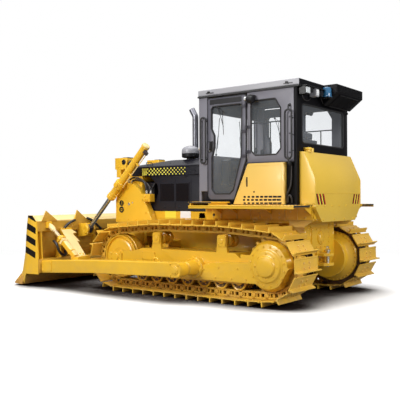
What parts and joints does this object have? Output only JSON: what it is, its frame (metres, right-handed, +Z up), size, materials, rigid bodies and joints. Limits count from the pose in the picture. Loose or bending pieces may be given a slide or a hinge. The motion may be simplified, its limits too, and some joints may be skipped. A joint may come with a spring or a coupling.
{
  "type": "crawler bulldozer",
  "caption": "Crawler bulldozer with a straight blade, push arms and twin lift cylinders, steel tracks, black hood and a closed cab.",
  "frame": {"origin": "on the ground under the centre of the machine's bounding box", "axes": "+X forward, +Y to the driver's left, +Z up"},
  "size_m": [5.0511, 3.38, 2.964],
  "materials": {
    "yellow_paint": "satin yellow enamel",
    "track_steel": "yellow paint on rolled steel shoes and links",
    "hood_black": "semi-matt black enamel",
    "cab_grey": "dark grey enamel",
    "window_glass": "clear safety glass",
    "rod_chrome": "hard chrome plate",
    "seat_fabric": "dark woven seat cover",
    "console_plastic": "grained dark plastic",
    "engine_iron": "cast iron",
    "edge_steel": "worn paint on wear steel"
  },
  "bodies": {
    "machine": {"air_precleaner": "hood_black", "battery_box": "yellow_paint", "cab_floor": "hood_black", "cab_front": "cab_grey", "cab_quarter_left": "cab_grey", "cab_quarter_right": "cab_grey", "cab_rear": "cab_grey", "cab_roof": "cab_grey", "condenser_box": "cab_grey", "engine_block": "engine_iron", "engine_side_panels": "hood_black", "exhaust_stack": "hood_black", "fender_left": "yellow_paint", "fender_right": "yellow_paint", "final_drive_left": "yellow_paint", "final_drive_right": "yellow_paint", "front_lamps": "yellow_paint", "front_windows": "window_glass", "fuel_tank": "yellow_paint", "hood": "hood_black", "hydraulic_tank": "yellow_paint", "idler_left": "yellow_paint", "idler_right": "yellow_paint", "lift_lines": "hood_black", "main_frame": "yellow_paint", "operator_consoles": "console_plastic", "operator_seat": "seat_fabric", "quarter_window_left": "window_glass", "quarter_window_right": "window_glass", "radiator": "hood_black", "radiator_guard": "yellow_paint", "rear_housing": "yellow_paint", "rear_window": "window_glass", "rollers_left": "yellow_paint", "rollers_right": "yellow_paint", "sprocket_left": "yellow_paint", "sprocket_right": "yellow_paint", "track_frame_left": "yellow_paint", "track_frame_right": "yellow_paint", "track_left": "track_steel", "track_right": "track_steel"},
    "blade_frame": {"blade": "yellow_paint", "cutting_edge": "edge_steel", "push_arm_left": "yellow_paint", "push_arm_right": "yellow_paint", "tilt_brace_left": "yellow_paint", "tilt_brace_right": "yellow_paint"},
    "barrel_left": {"lift_barrel_left": "yellow_paint"},
    "barrel_right": {"lift_barrel_right": "yellow_paint"},
    "rod_left": {"lift_rod_left": "rod_chrome"},
    "rod_right": {"lift_rod_right": "rod_chrome"},
    "door_left": {"cab_door_left": "cab_grey", "door_glass_left": "window_glass"},
    "door_right": {"cab_door_right": "cab_grey", "door_glass_right": "window_glass"},
    "battery_door": {"battery_box_door": "yellow_paint"}
  },
  "joints": [
    {"name": "blade_lift", "type": "hinge", "parent": "machine", "child": "blade_frame", "pos_m": [-0.8475, 0, 0.445], "axis": [0, -1, 0], "range_deg": [-8.5, 17]},
    {"name": "cylinder_swing_left", "type": "hinge", "parent": "machine", "child": "barrel_left", "pos_m": [1.0675, 0.72, 1.63], "axis": [0, -1, 0], "range_deg": [-16.7, 32.5]},
    {"name": "rod_slide_left", "type": "slide", "parent": "barrel_left", "child": "rod_left", "axis": [0.6999, 0, -0.7143], "range_m": [-0.597, 0.304]},
    {"name": "cylinder_swing_right", "type": "hinge", "parent": "machine", "child": "barrel_right", "pos_m": [1.0675, -0.72, 1.63], "axis": [0, -1, 0], "range_deg": [-16.7, 32.5]},
    {"name": "rod_slide_right", "type": "slide", "parent": "barrel_right", "child": "rod_right", "axis": [0.6999, 0, -0.7143], "range_m": [-0.597, 0.304]},
    {"name": "cab_door_left", "type": "hinge", "parent": "machine", "child": "door_left", "pos_m": [-1.4425, 0.806, 2.1], "axis": [0, 0, 1], "range_deg": [0, 95]},
    {"name": "cab_door_right", "type": "hinge", "parent": "machine", "child": "door_right", "pos_m": [-1.4425, -0.806, 2.1], "axis": [0, 0, -1], "range_deg": [0, 95]},
    {"name": "battery_door", "type": "hinge", "parent": "machine", "child": "battery_door", "pos_m": [-2.0445, 0.806, 1.6], "axis": [0, 0, 1], "range_deg": [0, 110]}
  ],
  "couplings": [
    {"joint": "cylinder_swing_left", "follows": "blade_lift", "ratio": 1.85},
    {"joint": "rod_slide_left", "follows": "blade_lift", "m_per_rad": -1.98},
    {"joint": "cylinder_swing_right", "follows": "blade_lift", "ratio": 1.85},
    {"joint": "rod_slide_right", "follows": "blade_lift", "m_per_rad": -1.98}
  ]
}
